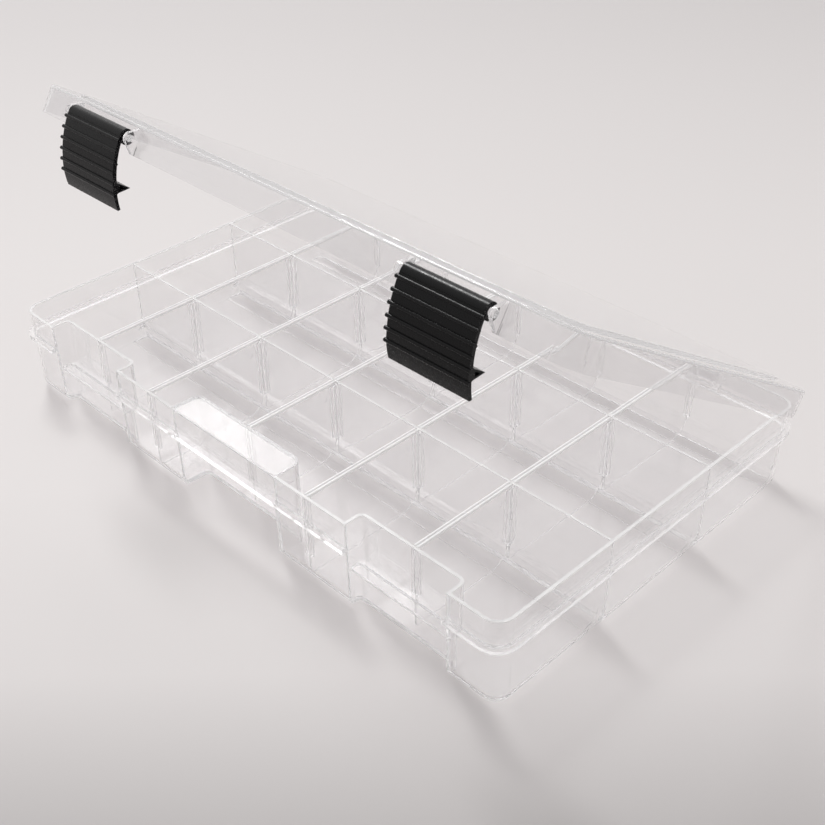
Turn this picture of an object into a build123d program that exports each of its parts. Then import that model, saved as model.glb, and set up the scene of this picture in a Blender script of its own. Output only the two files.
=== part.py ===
# Clear compartment box for tackle, crafts and small parts: a tray of three rows with lift-out
# dividers, a hinged lid that stands part way open, and two black snap latches on the lid.
# Millimetres and degrees. X runs left to right along the front, Y from front to back and Z up.
# The origin is the centre of the tray's underside, so the table is at Z = 0.
from build123d import *
from math import radians, sqrt, tan
import os

# Tray
tray_length = 350.0
tray_depth = 215.0
tray_height = 48.0
wall = 1.5
floor_thickness = 1.8
rim_corner = 9.0
foot_radius = 4.0
draft_angle = 1.0
ledge_drop = 13.0
ledge_reach = 2.5
ledge_thickness = 2.5

# Rows and columns
row_count = 3
row_wall = 1.2
scoop_radius = 12.5
scoop_hollow_start = 0.5
front_corner_radius = 1.0
column_pitch = 58.7
column_count = 5

# Rails that hold the dividers
rail_thickness = 1.1
rail_reach = 2.0
rail_drop = 2.2
rail_bottom = 13.0

# Dividers
blade_thickness = 1.2
blade_clearance = 0.3
bead_width = 2.6
bead_height = 1.5
bead_groove_width = 0.8
bead_groove_depth = 0.5
mark_radius = 1.7
mark_depth = 0.2
mark_from_end = 7.0
mark_from_top = 8.0

# Latch recesses and their catch shelves
latch_offset = 116.0
recess_width = 60.0
recess_depth = 10.0
recess_corner = 2.5
shelf_drop = 25.8
shelf_thickness = 1.6
shelf_setback = 2.0
foot_wall_setback = 7.0

# Finger pocket under the centre panel
panel_width = 78.0
panel_depth = 17.0
panel_thickness = 1.5
panel_corner = 5.0

# Lid
lid_thickness = 1.5
lid_clearance = 0.3
lid_edge_radius = 1.0
skirt_thickness = 1.5
skirt_step = 0.4
skirt_step_height = 4.5
raised_inset = 12.0
raised_height = 1.0
raised_corner = 8.0
open_angle = 32.0

# Hinge
hinge_spacing = 120.0
hinge_count = 3
hinge_setback = 3.2
hinge_drop = 11.3
hinge_pin_radius = 1.6
hinge_fit = 0.05
hinge_ring_radius = 2.8
hinge_ring_width = 13.4
hinge_side_gap = 0.3
hinge_ear_thickness = 3.0
hinge_arm_thickness = 2.6

# Latches
latch_width = 44.0
latch_pin_radius = 1.8
latch_fit = 0.05
latch_pin_reach = 6.0
latch_pin_drop = 5.5
latch_ear_radius = 3.2
latch_ear_thickness = 2.2
latch_ear_gap = 1.6
barrel_radius = 3.9
barrel_mouth = 3.0
latch_thickness = 2.0
rib_start = 1.7
rib_radius = 0.9
rib_overhang = 0.9
rib_pitch = 5.4
rib_count = 6
rear_bead_radius = 0.5
rear_bead_drop = 13.0
latch_rear_rise = 0.3
hook_clearance = 0.4
hook_wall = 0.9
hook_root_top_depth = 3.5
hook_root_bottom_depth = 6.2
hook_reach = 11.7
hook_tip_slope = 0.5
hook_height = 4.4

# Places that follow from the sizes above
rim_front = -tray_depth / 2
rim_back = tray_depth / 2
ledge_top = tray_height - ledge_drop
ledge_bottom = ledge_top - ledge_thickness
shelf_top = tray_height - shelf_drop
shelf_bottom = shelf_top - shelf_thickness
row_clear = (tray_depth - 2 * wall - (row_count - 1) * row_wall) / row_count
columns = [(i - (column_count - 1) / 2) * column_pitch for i in range(column_count)]
latch_centres = [-latch_offset, latch_offset]

lid_underside = tray_height + lid_clearance
lid_top = lid_underside + lid_thickness
lid_length = tray_length + 2 * ledge_reach
lid_depth = tray_depth + 2 * ledge_reach
lid_corner = rim_corner + ledge_reach
lid_front = -lid_depth / 2
lid_back = lid_depth / 2
skirt_bottom = ledge_top + lid_clearance

hinge_y = lid_back + hinge_setback
hinge_z = tray_height - hinge_drop
hinge_axis = Axis((0, hinge_y, hinge_z), (-1, 0, 0))
hinge_centres = [(i - (hinge_count - 1) / 2) * hinge_spacing for i in range(hinge_count)]

latch_notch = latch_width + 2 * latch_ear_gap + latch_ear_thickness
latch_y = rim_front - latch_pin_reach
latch_z = tray_height - latch_pin_drop
past_edge = 10.0


def draft_at(height):
    """How far a drafted wall has come in from the rim at a height."""
    return (tray_height - height) * tan(radians(draft_angle))


def row_limits(row):
    """The Y of a row's front and back wall faces at the rim."""
    front = rim_front + wall + row * (row_clear + row_wall)
    return front, front + row_clear


def row_outline(row, front, gap, plane):
    """Side view on a plane of a row's clear space behind its front face, drawn in by a gap."""
    back = row_limits(row)[1]
    bottom = floor_thickness + gap
    front_lean = draft_at(bottom) if front == row_limits(0)[0] else 0.0
    back_lean = draft_at(bottom) if row == row_count - 1 else 0.0
    with BuildSketch(plane) as outline:
        with BuildLine():
            Polyline(
                (front + gap, tray_height),
                (front + gap + front_lean, bottom),
                (back - gap - back_lean, bottom),
                (back - gap, tray_height),
                close=True,
            )
        make_face()
        front_radius = foot_radius - wall if front_lean else front_corner_radius
        fillet(outline.vertices().group_by(Axis.Y)[0].sort_by(Axis.X)[-1], scoop_radius - gap)
        fillet(outline.vertices().group_by(Axis.Y)[0].sort_by(Axis.X)[0], front_radius - gap)
    return outline.sketch


def scoop_hollow(row):
    """The hollow below a row's scoop, open at the underside, that leaves the scoop as thick as the walls."""
    back = row_limits(row)[1]
    if row == row_count - 1:
        arc_back = back - draft_at(floor_thickness)
        hollow_back = rim_back - draft_at(0) - foot_radius
    else:
        arc_back = hollow_back = back
    arc_centre = (arc_back - scoop_radius, floor_thickness + scoop_radius)
    half_length = tray_length / 2 - draft_at(0) - foot_radius
    with BuildPart() as hollow:
        with BuildSketch(Plane.YZ.offset(-half_length)):
            with Locations(((arc_centre[0] + hollow_back) / 2, arc_centre[1] / 2)):
                Rectangle(hollow_back - arc_centre[0], arc_centre[1])
            with Locations(arc_centre):
                Circle(scoop_radius + wall, mode=Mode.SUBTRACT)
            thin_end = arc_centre[0] + sqrt(
                (scoop_radius + wall) ** 2 - (arc_centre[1] - scoop_hollow_start) ** 2
            )
            with Locations(((arc_centre[0] + thin_end) / 2, arc_centre[1] / 2)):
                Rectangle(thin_end - arc_centre[0], arc_centre[1], mode=Mode.SUBTRACT)
        extrude(amount=2 * half_length)
    return hollow.part


def front_block(centre, width, front, back, corner, bottom, top):
    """A block at the tray's front from one Y to another, with its two back corners rounded."""
    with BuildPart() as block:
        with BuildSketch(Plane.XY.offset(bottom)) as plan:
            with Locations((centre, (front + back) / 2)):
                Rectangle(width, back - front)
            fillet(plan.vertices().group_by(Axis.Y)[-1], corner)
        extrude(amount=top - bottom)
    return block.part


def front_face(column):
    """The Y of the face that the front end of a front-row divider meets."""
    for centre in latch_centres:
        if abs(column - centre) < recess_width / 2:
            return rim_front + recess_depth + wall
    if abs(column) < panel_width / 2:
        return rim_front + panel_depth
    return row_limits(0)[0]


# Inside of the tray: a drafted block whose foot is rounded like the outside
with BuildPart() as inside:
    with BuildSketch(Plane.XY.offset(tray_height)):
        RectangleRounded(tray_length - 2 * wall, tray_depth - 2 * wall, rim_corner - wall)
    extrude(amount=floor_thickness - tray_height, taper=draft_angle)
    fillet(inside.faces().sort_by(Axis.Z)[0].edges(), foot_radius - wall)


def row_space(row):
    """The clear space of one row, with the scoop along its back and the blocks at its front."""
    with BuildPart() as space:
        side = row_outline(row, row_limits(row)[0], 0.0, Plane.YZ.offset(-tray_length / 2))
        extrude(side, amount=tray_length)
        add(inside.part, mode=Mode.INTERSECT)
        if row == 0:
            recess_back = rim_front + recess_depth + wall
            foot_back = rim_front + foot_wall_setback + wall
            outer = recess_width + 2 * wall
            corner = recess_corner + wall
            for centre in latch_centres:
                add(front_block(centre, outer, rim_front, recess_back, corner, shelf_bottom, tray_height),
                    mode=Mode.SUBTRACT)
                add(front_block(centre, outer, rim_front, foot_back, corner, 0, shelf_bottom),
                    mode=Mode.SUBTRACT)
            add(front_block(0, panel_width, rim_front, rim_front + panel_depth, panel_corner, 0, tray_height),
                mode=Mode.SUBTRACT)
    return space.part


def rail_faces(column):
    """The wall faces that carry rails at a column, each with the way that its rails stand out."""
    faces = [(front_face(column), 1)]
    for row in range(row_count):
        front, back = row_limits(row)
        if row > 0:
            faces.append((front, 1))
        faces.append((back, -1))
    return faces


# Base tray: one moulding with its ledge, row walls, rails, recesses, pocket and hinge ears
with BuildPart() as tray:
    with BuildSketch(Plane.XY.offset(tray_height)):
        RectangleRounded(tray_length, tray_depth, rim_corner)
    extrude(amount=-tray_height, taper=draft_angle)
    fillet(tray.faces().sort_by(Axis.Z)[0].edges(), foot_radius)
    with BuildSketch(Plane.XY.offset(ledge_bottom)):
        RectangleRounded(lid_length, lid_depth, lid_corner)
    extrude(amount=ledge_thickness)
    for row in range(row_count):
        add(row_space(row), mode=Mode.SUBTRACT)
        add(scoop_hollow(row), mode=Mode.SUBTRACT)

    outer_edge = rim_front - past_edge
    for centre in latch_centres:
        above = front_block(centre, recess_width, outer_edge, rim_front + recess_depth,
                            recess_corner, shelf_top, tray_height + past_edge)
        ahead = front_block(centre, recess_width, outer_edge, rim_front + shelf_setback,
                            front_corner_radius, shelf_bottom, shelf_top)
        below = front_block(centre, recess_width, outer_edge, rim_front + foot_wall_setback,
                            recess_corner, -past_edge, shelf_bottom)
        for opening in (above, ahead, below):
            add(opening, mode=Mode.SUBTRACT)

    pocket_width = panel_width - 2 * wall
    pocket_back = rim_front + panel_depth - wall
    pocket = front_block(0, pocket_width, rim_front + wall, pocket_back, panel_corner - wall,
                         -past_edge, tray_height - panel_thickness)
    mouth = front_block(0, pocket_width, outer_edge, rim_front + 2 * wall, front_corner_radius,
                        -past_edge, ledge_bottom)
    for opening in (pocket, mouth):
        add(opening, mode=Mode.SUBTRACT)

    rail_top = tray_height - rail_drop
    rail_offset = blade_thickness / 2 + blade_clearance + rail_thickness / 2
    rail_root = wall / 2
    for column in columns:
        for face, way in rail_faces(column):
            bottom = max(rail_bottom, shelf_bottom) if face == rim_front + recess_depth + wall else rail_bottom
            middle = face + way * (rail_reach - rail_root) / 2
            with Locations(
                (column - rail_offset, middle, (bottom + rail_top) / 2),
                (column + rail_offset, middle, (bottom + rail_top) / 2),
            ):
                Box(rail_thickness, rail_reach + rail_root, rail_top - bottom)

    ear_offset = hinge_ring_width / 2 + hinge_side_gap
    for centre in hinge_centres:
        for side in (-1, 1):
            with BuildSketch(Plane.YZ.offset(centre + side * ear_offset)):
                with Locations((hinge_y, hinge_z)):
                    Circle(hinge_ring_radius)
                with Locations(((rim_back + hinge_y) / 2, (ledge_bottom + ledge_top) / 2)):
                    Rectangle(hinge_y - rim_back, ledge_thickness)
            extrude(amount=side * hinge_ear_thickness)
        with BuildSketch(Plane.YZ.offset(centre)):
            with Locations((hinge_y, hinge_z)):
                Circle(hinge_pin_radius)
        extrude(amount=ear_offset, both=True)

tray.part.label = "base_tray"


# Lid, drawn closed: plate with a raised panel, skirt, latch cheeks and pins, hinge rings
with BuildPart() as closed_lid:
    with BuildSketch(Plane.XY.offset(skirt_bottom)):
        RectangleRounded(lid_length, lid_depth, lid_corner)
    extrude(amount=lid_top - skirt_bottom)
    fillet(closed_lid.faces().sort_by(Axis.Z)[-1].edges(), lid_edge_radius)
    raised_length = lid_length - 2 * raised_inset
    raised_depth = lid_depth - 2 * raised_inset
    with BuildSketch(Plane.XY.offset(lid_top)):
        RectangleRounded(raised_length, raised_depth, raised_corner)
    extrude(amount=raised_height)
    fillet(closed_lid.faces().sort_by(Axis.Z)[-1].edges(), raised_height / 2)

    inner_length = lid_length - 2 * skirt_thickness
    inner_depth = lid_depth - 2 * skirt_thickness
    inner_corner = lid_corner - skirt_thickness
    with BuildSketch(Plane.XY.offset(skirt_bottom)):
        RectangleRounded(inner_length, inner_depth, inner_corner)
    extrude(amount=lid_underside - skirt_bottom, mode=Mode.SUBTRACT)
    with BuildSketch(Plane.XY.offset(skirt_bottom)):
        RectangleRounded(inner_length + 2 * skirt_step, inner_depth + 2 * skirt_step, inner_corner + skirt_step)
    extrude(amount=skirt_step_height, mode=Mode.SUBTRACT)
    with BuildSketch(Plane.XY.offset(lid_underside)):
        RectangleRounded(raised_length - 2 * lid_thickness, raised_depth - 2 * lid_thickness,
                         raised_corner - lid_thickness)
    extrude(amount=raised_height, mode=Mode.SUBTRACT)

    for centre in latch_centres:
        add(front_block(centre, latch_notch, lid_front - past_edge, lid_front + 2 * skirt_thickness,
                        skirt_thickness / 2, skirt_bottom, lid_underside), mode=Mode.SUBTRACT)
        cheek = latch_width / 2 + latch_ear_gap
        for side in (-1, 1):
            with BuildSketch(Plane.YZ.offset(centre + side * cheek)):
                with Locations((latch_y, latch_z)):
                    Circle(latch_ear_radius)
                with Locations((lid_front + skirt_thickness / 2, (skirt_bottom + lid_underside) / 2)):
                    Rectangle(skirt_thickness, lid_underside - skirt_bottom)
                make_hull()
            extrude(amount=side * latch_ear_thickness)
        with BuildSketch(Plane.YZ.offset(centre)):
            with Locations((latch_y, latch_z)):
                Circle(latch_pin_radius)
        extrude(amount=cheek, both=True)

    ring_bore = hinge_pin_radius + hinge_fit
    for centre in hinge_centres:
        with BuildSketch(Plane.YZ.offset(centre)):
            with Locations((hinge_y, hinge_z)):
                Circle(hinge_ring_radius)
            arm_front = lid_back - skirt_thickness / 2
            arm_bottom = hinge_z + ring_bore + hinge_fit
            with Locations(((arm_front + hinge_y) / 2, arm_bottom + hinge_arm_thickness / 2)):
                Rectangle(hinge_y - arm_front, hinge_arm_thickness)
            with Locations((hinge_y, hinge_z)):
                Circle(ring_bore, mode=Mode.SUBTRACT)
        extrude(amount=hinge_ring_width / 2, both=True)

lid = closed_lid.part.rotate(hinge_axis, open_angle)
lid.label = "lid"


# Latch side view about its pin, as it hangs when shut: Y towards the box, Z up
front_top = (-4.0, -1.0)
front_middle = (-2.6, -12.0)
front_bend = (1.0, -22.5)
front_low = (4.5, -29.3)
tab_front = (9.3, -35.2)
tab_back = (10.4, -34.3)
back_low = (6.0, -28.2)
back_bend = (front_bend[0] + latch_thickness, front_bend[1] + 2 * latch_rear_rise)
back_middle = (front_middle[0] + latch_thickness, front_middle[1] + latch_rear_rise)
back_top = (front_top[0] + latch_thickness, front_top[1])
shelf_gap_top = shelf_bottom - hook_clearance - latch_z
hook_root_top = (hook_root_top_depth, shelf_gap_top)
hook_tip = (hook_reach, shelf_gap_top - hook_tip_slope)
hook_root_bottom = (hook_root_bottom_depth, shelf_gap_top - hook_height)


with BuildSketch() as hollow:
    Polygon(hook_root_top, hook_tip, hook_root_bottom, align=None)
    offset(amount=-hook_wall, kind=Kind.INTERSECTION, mode=Mode.REPLACE)
hook_hollow = hollow.sketch


def make_latch(centre):
    """A ribbed latch that snaps on the lid's pin, with a hollow hook and a finger tab."""
    with BuildPart() as latch:
        with BuildLine(Plane.YZ):
            upper = ThreePointArc(front_top, front_middle, front_bend)
            lower = ThreePointArc(front_bend, front_low, tab_front)
            rear = ThreePointArc(back_top, back_middle, back_bend)
        ribs = []
        for i in range(rib_count):
            along = rib_start + i * rib_pitch
            if along < upper.length:
                ribs.append(upper.position_at(along / upper.length))
            else:
                ribs.append(lower.position_at((along - upper.length) / lower.length))
        with BuildSketch(Plane.YZ):
            with BuildLine():
                ThreePointArc(front_top, front_middle, front_bend)
                ThreePointArc(front_bend, front_low, tab_front)
                Line(tab_front, tab_back)
                ThreePointArc(tab_back, back_low, back_bend)
                ThreePointArc(back_bend, back_middle, back_top)
                Line(back_top, front_top)
            make_face()
            Circle(barrel_radius)
            with BuildLine():
                Polyline(back_bend, hook_root_top, hook_tip, hook_root_bottom, front_low, close=True)
            make_face()
            add(hook_hollow, mode=Mode.SUBTRACT)
            with Locations((barrel_radius / 2, 0)):
                Rectangle(barrel_radius, barrel_mouth, mode=Mode.SUBTRACT)
            Circle(latch_pin_radius + latch_fit, mode=Mode.SUBTRACT)
        extrude(amount=latch_width / 2, both=True)
        for spot in ribs:
            with BuildSketch(Plane.YZ):
                with Locations((spot.Y, spot.Z)):
                    Circle(rib_radius)
            extrude(amount=latch_width / 2 + rib_overhang, both=True)
        spot = rear.position_at(rear_bead_drop / rear.length)
        with BuildSketch(Plane.YZ):
            with Locations((spot.Y, spot.Z)):
                Circle(rear_bead_radius)
        extrude(amount=latch_width / 2, both=True)
    shut = latch.part.moved(Location((centre, latch_y, latch_z)))
    return shut.rotate(hinge_axis, open_angle)


def make_divider(column, row):
    """A lift-out divider between two walls, with a grooved bead along its top."""
    front = front_face(column) if row == 0 else row_limits(row)[0]
    back = row_limits(row)[1]
    first = front + blade_clearance
    last = back - blade_clearance
    with BuildPart() as divider:
        side = row_outline(row, front, blade_clearance, Plane.YZ.offset(column - blade_thickness / 2))
        extrude(side, amount=blade_thickness)
        with Locations((column, (first + last) / 2, tray_height - bead_height / 2)):
            Box(bead_width, last - first, bead_height)
        with Locations((column, (first + last) / 2, tray_height - bead_groove_depth / 2)):
            Box(bead_groove_width, last - first, bead_groove_depth, mode=Mode.SUBTRACT)
        with BuildSketch(Plane.YZ.offset(column + blade_thickness / 2)):
            with Locations((last - mark_from_end, tray_height - mark_from_top)):
                Circle(mark_radius)
        extrude(amount=-mark_depth, mode=Mode.SUBTRACT)
    return divider.part


os.makedirs("parts", exist_ok=True)
export_step(tray.part, "parts/base_tray.step")
export_step(lid, "parts/lid.step")
for side, centre in zip(("left", "right"), latch_centres):
    latch = make_latch(centre)
    latch.label = f"latch_{side}"
    export_step(latch, f"parts/latch_{side}.step")
for row, row_name in enumerate(("front", "middle", "back")):
    for number, column in enumerate(columns, 1):
        divider = make_divider(column, row)
        divider.label = f"divider_{row_name}_{number}"
        export_step(divider, f"parts/divider_{row_name}_{number}.step")
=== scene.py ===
# Clear compartment box with its lid part way open and two black latches, on a pale table
# under a soft overhead light. Metres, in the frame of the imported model.
import bpy
from math import cos, radians, sin
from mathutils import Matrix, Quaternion, Vector

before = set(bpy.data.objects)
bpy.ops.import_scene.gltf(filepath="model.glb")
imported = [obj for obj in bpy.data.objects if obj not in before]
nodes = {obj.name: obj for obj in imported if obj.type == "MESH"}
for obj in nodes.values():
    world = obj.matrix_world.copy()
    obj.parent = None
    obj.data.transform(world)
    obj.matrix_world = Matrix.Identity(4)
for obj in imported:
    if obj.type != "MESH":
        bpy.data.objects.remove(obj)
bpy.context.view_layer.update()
bpy.ops.object.select_all(action="DESELECT")

# Camera, as the photograph was taken
camera_place = Vector((0.4018, -0.3762, 0.3990))
camera_aim = Vector((-0.0004, 0.0191, 0.0))
camera_roll = radians(-0.77)
focal_length = 55.14

MM = 0.001

# Colours, as linear light
# The table's darker tones are painted shade, not the table's own colour
table_front_painted_shade = (0.52, 0.50, 0.497, 1.0)
table_near_painted_shade = (0.73, 0.702, 0.697, 1.0)
table_colour = (0.775, 0.745, 0.74, 1.0)
table_middle_painted_shade = (0.725, 0.697, 0.692, 1.0)
table_far_painted_shade = (0.575, 0.553, 0.551, 1.0)
table_horizon_painted_shade = (0.46, 0.442, 0.442, 1.0)
room_colour = (1.0, 0.985, 0.98, 1.0)
tray_tint = (0.99, 0.987, 0.989, 1.0)
lid_tint = (0.91, 0.905, 0.91, 1.0)
shadow_clear = (0.998, 0.997, 0.998, 1.0)
shadow_edge = (0.6, 0.59, 0.6, 1.0)
# Painted glow, emitted by the plastic where light has been reflected many times inside it
painted_glow = (0.76, 0.745, 0.745, 1.0)
latch_black = (0.004, 0.004, 0.0045, 1.0)

# Places on the box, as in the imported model, whose lid is open by lid_angle
column_pitch = 58.7 * MM
ridge_middle = 0.85 * MM
ridge_radius = 0.9 * MM
panel_half_width = 39.0 * MM
panel_back = -90.5 * MM
rim_low, rim_high = 47.5 * MM, 49.0 * MM
bead_low, bead_high = 46.6 * MM, 50.0 * MM
hinge_y = 113.2 * MM
hinge_z = 36.7 * MM
lid_angle = radians(32.0)
lid_edge_low, lid_edge_high = 48.5 * MM, 49.1 * MM

# Clear plastic. The body bends light less than real plastic does, and the coat carries its true gloss.
body_refraction = 1.3
coat_refraction = 1.49
coat_weight = 0.6
coat_roughness = 0.03
smooth_roughness, dull_roughness = 0.02, 0.05
polish_scale = 35.0
wave_scale = 14.0
wave_strength = 0.04
wave_height = 0.2 * MM
tray_clearness, lid_clearness = 0.92, 0.95
# The white shares along edges below are painted highlights
rim_painted_highlight = 0.4
lid_edge_painted_highlight, lid_edge_satin = 0.8, 0.1
bead_painted_highlight, bead_satin = 0.8, 0.25
shade_starts, shade_full = 0.25, 0.9
# The painted glow fades in between these numbers of reflections inside the plastic
reflections_clear, reflections_white = 1.0, 8.0

# Black plastic
latch_specular = 0.16
latch_smooth, latch_dull = 0.22, 0.34
speck_scale = 900.0
grain_scale = 1500.0
grain_strength = 0.35
grain_height = 0.05 * MM

# Table, with painted shade that follows the distance from its middle towards the back left
table_size = 8.0
table_drop = 0.1 * MM
table_roughness = 0.6
table_specular = 0.2
shades_along = (-0.7, 0.7, 0.0)
shades_start, shades_end = -0.4, 1.2
table_painted_shades = ((0.05, table_front_painted_shade), (0.09, table_front_painted_shade), (0.14, table_near_painted_shade),
                (0.22, table_colour), (0.37, table_middle_painted_shade), (0.67, table_far_painted_shade))

# Lamps and room
key_place, key_size, key_power = (-1.95, 0.86, 2.6), (0.6, 0.6), 47.5
softbox_place, softbox_size, softbox_power = (-2.65, 1.6, 2.7), (1.52, 1.0), 20.5
softbox_floor = (-2.65, 1.6, 0)
softbox_turn = -9.5
room_level = 0.62
room_seen_dark, room_seen_bright = 0.6, 1.1
room_bright_way = (-0.45, 0.6, 0.66)
room_blend = 0.5


class Nodes:
    """The node tree of a material or a world, with short ways to add and join its nodes."""

    def __init__(self, owner):
        owner.use_nodes = True
        self.tree = owner.node_tree
        self.tree.nodes.clear()

    def add(self, kind, **settings):
        node = self.tree.nodes.new(kind)
        for key, value in settings.items():
            setattr(node, key, value)
        return node

    def join(self, out, into):
        self.tree.links.new(out, into)

    def finish(self, kind, surface):
        self.join(surface, self.add(kind).inputs["Surface"])


def object_noise(n, scale, detail=3.0):
    """Noise over the object's own coordinates, as a number from 0 to 1."""
    place = n.add("ShaderNodeTexCoord")
    noise = n.add("ShaderNodeTexNoise")
    noise.inputs["Scale"].default_value = scale
    noise.inputs["Detail"].default_value = detail
    n.join(place.outputs["Object"], noise.inputs["Vector"])
    return noise.outputs["Fac"]


def spread(n, value, low, high):
    """Noise, which mostly lies between 0.35 and 0.65, spread over a range."""
    node = n.add("ShaderNodeMapRange")
    node.inputs["From Min"].default_value = 0.35
    node.inputs["From Max"].default_value = 0.65
    node.inputs["To Min"].default_value = low
    node.inputs["To Max"].default_value = high
    n.join(value, node.inputs["Value"])
    return node.outputs["Result"]


def calc(n, operation, first, second):
    """A Math node's result. Each of the two values is a number or another node's output."""
    node = n.add("ShaderNodeMath", operation=operation)
    for socket, value in zip(node.inputs, (first, second)):
        if isinstance(value, float):
            socket.default_value = value
        else:
            n.join(value, socket)
    return node.outputs["Value"]


def object_axes(n):
    """The object's own X, Y and Z coordinates."""
    place = n.add("ShaderNodeTexCoord")
    axes = n.add("ShaderNodeSeparateXYZ")
    n.join(place.outputs["Object"], axes.inputs["Vector"])
    return axes.outputs["X"], axes.outputs["Y"], axes.outputs["Z"]


def between(n, value, low, high):
    """1 where the value lies between two numbers, else 0."""
    return calc(n, "MULTIPLY", calc(n, "GREATER_THAN", value, low), calc(n, "LESS_THAN", value, high))


def from_column(n, x):
    """Distance along X from the nearest line of dividers."""
    return calc(n, "PINGPONG", x, column_pitch / 2)


def top_edge(n, low, high):
    """1 between two heights, apart from the panel at the front, else 0."""
    x, y, z = object_axes(n)
    beside = calc(n, "GREATER_THAN", calc(n, "ABSOLUTE", x, 0.0), panel_half_width)
    behind = calc(n, "GREATER_THAN", y, panel_back)
    return calc(n, "MULTIPLY", between(n, z, low, high), calc(n, "MAXIMUM", beside, behind))


def tray_rim(n):
    """1 on the tray's narrow rim, else 0."""
    return top_edge(n, rim_low, rim_high)


def divider_bead(n):
    """1 on the thick bead along a divider's top, else 0."""
    return top_edge(n, bead_low, bead_high)


def lid_edge(n):
    """1 on a line round the lid where plate and skirt meet, else 0. Heights are as on the shut lid."""
    x, y, z = object_axes(n)
    level = calc(n, "ADD", calc(n, "MULTIPLY", calc(n, "SUBTRACT", y, hinge_y), sin(lid_angle)),
                 calc(n, "MULTIPLY", calc(n, "SUBTRACT", z, hinge_z), cos(lid_angle)))
    return between(n, level, lid_edge_low - hinge_z, lid_edge_high - hinge_z)


def ridge_height(n):
    """Height in metres of two rounded ridges along each divider's top, one each side of its groove."""
    x, y, z = object_axes(n)
    from_ridge = calc(n, "SUBTRACT", from_column(n, x), ridge_middle)
    return calc(n, "MULTIPLY", calc(n, "POWER", from_ridge, 2.0), -0.5 / ridge_radius)


def lamp_light_through(n, path):
    """What the lamps' light meets: nearly clear plastic, which gives a soft shadow where it is slanted."""
    facing = n.add("ShaderNodeLayerWeight")
    slant = n.add("ShaderNodeMapRange")
    slant.inputs["From Min"].default_value = shade_starts
    slant.inputs["From Max"].default_value = shade_full
    n.join(facing.outputs["Facing"], slant.inputs["Value"])
    n.join(path.outputs["Is Shadow Ray"], slant.inputs["To Max"])
    shade = n.add("ShaderNodeMix", data_type="RGBA")
    shade.inputs["A"].default_value = shadow_clear
    shade.inputs["B"].default_value = shadow_edge
    n.join(slant.outputs["Result"], shade.inputs["Factor"])
    through = n.add("ShaderNodeBsdfTransparent")
    n.join(shade.outputs["Result"], through.inputs["Color"])
    return through.outputs["BSDF"]


def with_painted_glow(n, path, body):
    """The plastic, with a painted pale glow: an emission that stands in for light reflected many times
    inside it.
    """
    trapped = n.add("ShaderNodeMapRange")
    trapped.inputs["From Min"].default_value = reflections_clear
    trapped.inputs["From Max"].default_value = reflections_white
    n.join(path.outputs["Glossy Depth"], trapped.inputs["Value"])
    # Painted glow: an emission, not a lamp
    glow_shader = n.add("ShaderNodeEmission")
    glow_shader.inputs["Color"].default_value = painted_glow
    return blend(n, trapped.outputs["Result"], body, glow_shader.outputs["Emission"])


def blend(n, share, first, second):
    """A mix of two shaders."""
    mix = n.add("ShaderNodeMixShader")
    n.join(share, mix.inputs["Fac"])
    n.join(first, mix.inputs[1])
    n.join(second, mix.inputs[2])
    return mix.outputs["Shader"]


def clear_plastic(name, tint, clearness, edge, painted_highlight_share, satin, ridged=False):
    """Clear moulded plastic that bends light, and lets most of the lamps' light through.

    clearness is the share of light that goes through it and isn't scattered as white. edge marks where
    a thick edge gathers light: there the plastic is painted whiter as a highlight, and satin says how much
    rougher it is there.
    """
    material = bpy.data.materials.new(name)
    n = Nodes(material)
    body = n.add("ShaderNodeBsdfPrincipled")
    body.inputs["Base Color"].default_value = tint
    body.inputs["IOR"].default_value = body_refraction
    body.inputs["Coat Weight"].default_value = coat_weight
    body.inputs["Coat Roughness"].default_value = coat_roughness
    body.inputs["Coat IOR"].default_value = coat_refraction
    mask = edge(n)
    polish = spread(n, object_noise(n, polish_scale), smooth_roughness, dull_roughness)
    n.join(calc(n, "ADD", polish, calc(n, "MULTIPLY", mask, satin)), body.inputs["Roughness"])
    # Painted highlight: along the edge less light goes through and more is scattered as white
    passing = calc(n, "SUBTRACT", clearness, calc(n, "MULTIPLY", mask, painted_highlight_share))
    n.join(passing, body.inputs["Transmission Weight"])
    wave = n.add("ShaderNodeBump")
    wave.inputs["Strength"].default_value = wave_strength
    wave.inputs["Distance"].default_value = wave_height
    n.join(object_noise(n, wave_scale, detail=1.0), wave.inputs["Height"])
    if ridged:
        crown = n.add("ShaderNodeBump")
        crown.inputs["Distance"].default_value = 1.0
        n.join(ridge_height(n), crown.inputs["Height"])
        n.join(crown.outputs["Normal"], wave.inputs["Normal"])
    n.join(wave.outputs["Normal"], body.inputs["Normal"])

    path = n.add("ShaderNodeLightPath")
    lighting = calc(n, "MAXIMUM", path.outputs["Is Shadow Ray"], path.outputs["Is Diffuse Ray"])
    seen = with_painted_glow(n, path, body.outputs["BSDF"])
    n.finish("ShaderNodeOutputMaterial", blend(n, lighting, seen, lamp_light_through(n, path)))
    return material


def black_plastic():
    """Satin black plastic with a fine moulded grain."""
    material = bpy.data.materials.new("latch_black_plastic")
    n = Nodes(material)
    body = n.add("ShaderNodeBsdfPrincipled")
    body.inputs["Base Color"].default_value = latch_black
    body.inputs["Specular IOR Level"].default_value = latch_specular
    n.join(spread(n, object_noise(n, speck_scale), latch_smooth, latch_dull), body.inputs["Roughness"])
    grain = n.add("ShaderNodeBump")
    grain.inputs["Strength"].default_value = grain_strength
    grain.inputs["Distance"].default_value = grain_height
    n.join(object_noise(n, grain_scale), grain.inputs["Height"])
    n.join(grain.outputs["Normal"], body.inputs["Normal"])
    n.finish("ShaderNodeOutputMaterial", body.outputs["BSDF"])
    return material


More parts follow.
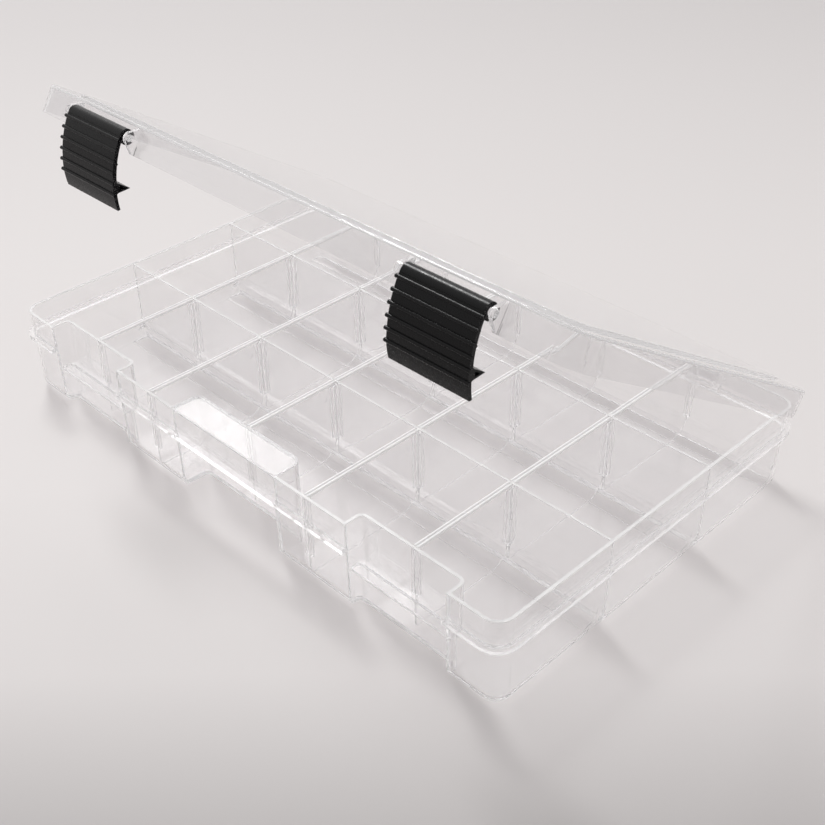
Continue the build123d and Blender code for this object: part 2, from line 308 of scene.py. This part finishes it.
def table_top():
    """The pale table, with painted shade: darker along a soft band at the front right and towards the back
    left.
    """
    material = bpy.data.materials.new("table")
    n = Nodes(material)
    body = n.add("ShaderNodeBsdfPrincipled")
    body.inputs["Roughness"].default_value = table_roughness
    body.inputs["Specular IOR Level"].default_value = table_specular
    place = n.add("ShaderNodeTexCoord")
    along = n.add("ShaderNodeVectorMath", operation="DOT_PRODUCT")
    along.inputs[1].default_value = shades_along
    n.join(place.outputs["Object"], along.inputs[0])
    part = n.add("ShaderNodeMapRange")
    part.inputs["From Min"].default_value = shades_start
    part.inputs["From Max"].default_value = shades_end
    n.join(along.outputs["Value"], part.inputs["Value"])
    # Painted shade: the table's colour steps down along these distances
    ramp = n.add("ShaderNodeValToRGB")
    stops = ramp.color_ramp.elements
    stops[0].color = table_colour
    stops[1].color = table_horizon_painted_shade
    for position, colour in table_painted_shades:
        stops.new(position).color = colour
    n.join(part.outputs["Result"], ramp.inputs["Fac"])
    n.join(ramp.outputs["Color"], body.inputs["Base Color"])
    n.finish("ShaderNodeOutputMaterial", body.outputs["BSDF"])
    return material


def paint(node_name, material):
    """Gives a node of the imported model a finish."""
    for slot in nodes[node_name].material_slots:
        slot.material = material


tray_clear = clear_plastic("tray_clear_plastic", tray_tint, tray_clearness, tray_rim, rim_painted_highlight, 0.0)
lid_clear = clear_plastic("lid_clear_plastic", lid_tint, lid_clearness, lid_edge, lid_edge_painted_highlight,
                          lid_edge_satin)
divider_clear = clear_plastic("divider_clear_plastic", tray_tint, tray_clearness, divider_bead,
                              bead_painted_highlight, bead_satin, ridged=True)
latch_finish = black_plastic()
for name in nodes:
    if name.startswith("divider"):
        paint(name, divider_clear)
    elif name.startswith("latch"):
        paint(name, latch_finish)
paint("base_tray", tray_clear)
paint("lid", lid_clear)


def add_table():
    """A wide pale table under the box."""
    bpy.ops.mesh.primitive_plane_add(size=table_size, location=(0, 0, -table_drop))
    table = bpy.context.object
    table.name = "table"
    table.data.materials.append(table_top())
    bpy.ops.object.select_all(action="DESELECT")


def add_softbox(name, place, aim, size, power, turn=0.0):
    """A rectangular soft light aimed at a point, turned about its own axis."""
    lamp = bpy.data.lights.new(name, "AREA")
    lamp.shape = "RECTANGLE"
    lamp.size, lamp.size_y = size
    lamp.energy = power
    light = bpy.data.objects.new(name, lamp)
    light.location = place
    light.rotation_mode = "QUATERNION"
    look = (Vector(aim) - Vector(place)).to_track_quat("-Z", "Y")
    light.rotation_quaternion = look @ Quaternion((0, 0, 1), radians(turn))
    bpy.context.scene.collection.objects.link(light)


def add_room():
    """Plain light from all round. What is seen of it is brighter above and at the back left."""
    world = bpy.data.worlds.new("room")
    n = Nodes(world)
    path = n.add("ShaderNodeLightPath")
    mirrored = calc(n, "MAXIMUM", path.outputs["Is Camera Ray"], path.outputs["Is Glossy Ray"])
    seen = calc(n, "MAXIMUM", mirrored, path.outputs["Is Transmission Ray"])
    way = n.add("ShaderNodeTexCoord")
    towards = n.add("ShaderNodeVectorMath", operation="DOT_PRODUCT")
    towards.inputs[1].default_value = room_bright_way
    n.join(way.outputs["Generated"], towards.inputs[0])
    sides = n.add("ShaderNodeMapRange", interpolation_type="SMOOTHSTEP")
    sides.inputs["From Min"].default_value = -room_blend
    sides.inputs["From Max"].default_value = room_blend
    sides.inputs["To Min"].default_value = room_seen_dark
    sides.inputs["To Max"].default_value = room_seen_bright
    n.join(towards.outputs["Value"], sides.inputs["Value"])
    strength = n.add("ShaderNodeMapRange")
    strength.inputs["To Min"].default_value = room_level
    n.join(sides.outputs["Result"], strength.inputs["To Max"])
    n.join(seen, strength.inputs["Value"])
    background = n.add("ShaderNodeBackground")
    background.inputs["Color"].default_value = room_colour
    n.join(strength.outputs["Result"], background.inputs["Strength"])
    n.finish("ShaderNodeOutputWorld", background.outputs["Background"])
    bpy.context.scene.world = world


def add_camera():
    """The camera, aimed, rolled a little and set as the scene's own."""
    lens = bpy.data.cameras.new("camera")
    lens.lens = focal_length
    lens.sensor_width = 36.0
    lens.clip_start = 0.01
    camera = bpy.data.objects.new("camera", lens)
    camera.location = camera_place
    look = (camera_aim - camera_place).to_track_quat("-Z", "Y")
    camera.rotation_mode = "QUATERNION"
    camera.rotation_quaternion = look @ Quaternion((0, 0, 1), camera_roll)
    bpy.context.scene.collection.objects.link(camera)
    bpy.context.scene.camera = camera


add_table()
add_softbox("key", key_place, (0, 0, 0), key_size, key_power)
add_softbox("softbox_back", softbox_place, softbox_floor, softbox_size, softbox_power, turn=softbox_turn)
add_room()
add_camera()

scene = bpy.context.scene
scene.view_settings.view_transform = "Standard"
# Light passes many thin walls here, and a clamp keeps stray bright dots away
scene.cycles.max_bounces = 32
scene.cycles.transmission_bounces = 32
scene.cycles.transparent_max_bounces = 64
scene.cycles.sample_clamp_indirect = 2.0
